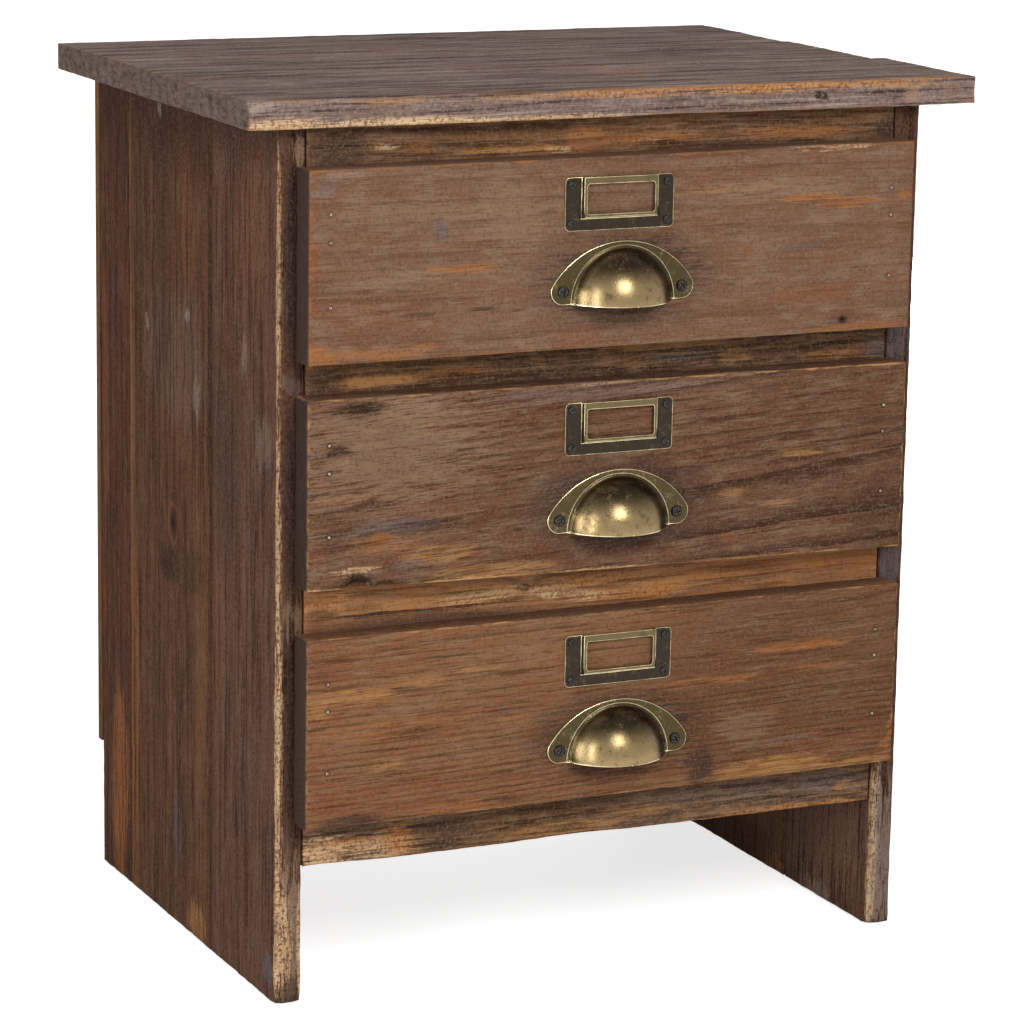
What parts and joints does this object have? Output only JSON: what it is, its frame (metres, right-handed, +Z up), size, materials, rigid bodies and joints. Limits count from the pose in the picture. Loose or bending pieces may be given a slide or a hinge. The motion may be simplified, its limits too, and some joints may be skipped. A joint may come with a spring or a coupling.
{
  "type": "nightstand",
  "caption": "Rustic plank nightstand with overhanging top, plank sides down to the floor and drawers with cup pulls and label frames that slide out.",
  "frame": {"origin": "middle of the whole outline on the floor", "axes": "+Z up, -Y towards the drawer fronts, +X to the right as seen from the front"},
  "size_m": [0.483, 0.3702, 0.55],
  "materials": {
    "top_wood": "dark stain, worn edges",
    "side_wood": "dark stain, worn edges",
    "front_wood": "warm stain, worn edges",
    "rail_wood": "dark stain, worn edges",
    "inner_wood": "bare planed softwood",
    "panel_wood": "plain thin plywood",
    "brass": "antiqued, rubbed bright",
    "label_brass": "antiqued, dark",
    "dark_screw": "black oxide",
    "iron_nail": "dark iron"
  },
  "bodies": {
    "case": {"back_panel": "panel_wood", "bottom_rail": "rail_wood", "left_bottom_runner": "inner_wood", "left_lower_runner": "inner_wood", "left_side_back_board": "side_wood", "left_side_front_board": "side_wood", "left_side_middle_board": "side_wood", "left_top_cleat": "inner_wood", "left_upper_runner": "inner_wood", "lower_rail": "rail_wood", "panel_nails": "iron_nail", "right_bottom_runner": "inner_wood", "right_lower_runner": "inner_wood", "right_side_back_board": "side_wood", "right_side_front_board": "side_wood", "right_side_middle_board": "side_wood", "right_top_cleat": "inner_wood", "right_upper_runner": "inner_wood", "runner_nails": "iron_nail", "top_back_board": "top_wood", "top_front_board": "top_wood", "top_middle_board": "top_wood", "top_nails": "iron_nail", "top_rail": "rail_wood", "upper_rail": "rail_wood"},
    "top_drawer": {"top_drawer_back": "inner_wood", "top_drawer_brads": "iron_nail", "top_drawer_floor": "panel_wood", "top_drawer_front": "front_wood", "top_drawer_label_frame": "label_brass", "top_drawer_label_screws": "dark_screw", "top_drawer_left_side": "inner_wood", "top_drawer_pull": "brass", "top_drawer_pull_screws": "dark_screw", "top_drawer_right_side": "inner_wood"},
    "middle_drawer": {"middle_drawer_back": "inner_wood", "middle_drawer_brads": "iron_nail", "middle_drawer_floor": "panel_wood", "middle_drawer_front": "front_wood", "middle_drawer_label_frame": "label_brass", "middle_drawer_label_screws": "dark_screw", "middle_drawer_left_side": "inner_wood", "middle_drawer_pull": "brass", "middle_drawer_pull_screws": "dark_screw", "middle_drawer_right_side": "inner_wood"},
    "bottom_drawer": {"bottom_drawer_back": "inner_wood", "bottom_drawer_brads": "iron_nail", "bottom_drawer_floor": "panel_wood", "bottom_drawer_front": "front_wood", "bottom_drawer_label_frame": "label_brass", "bottom_drawer_label_screws": "dark_screw", "bottom_drawer_left_side": "inner_wood", "bottom_drawer_pull": "brass", "bottom_drawer_pull_screws": "dark_screw", "bottom_drawer_right_side": "inner_wood"}
  },
  "joints": [
    {"name": "top_drawer_slide", "type": "slide", "parent": "case", "child": "top_drawer", "axis": [0, -1, 0], "range_m": [0, 0.2]},
    {"name": "middle_drawer_slide", "type": "slide", "parent": "case", "child": "middle_drawer", "axis": [0, -1, 0], "range_m": [0, 0.2]},
    {"name": "bottom_drawer_slide", "type": "slide", "parent": "case", "child": "bottom_drawer", "axis": [0, -1, 0], "range_m": [0, 0.2]}
  ]
}
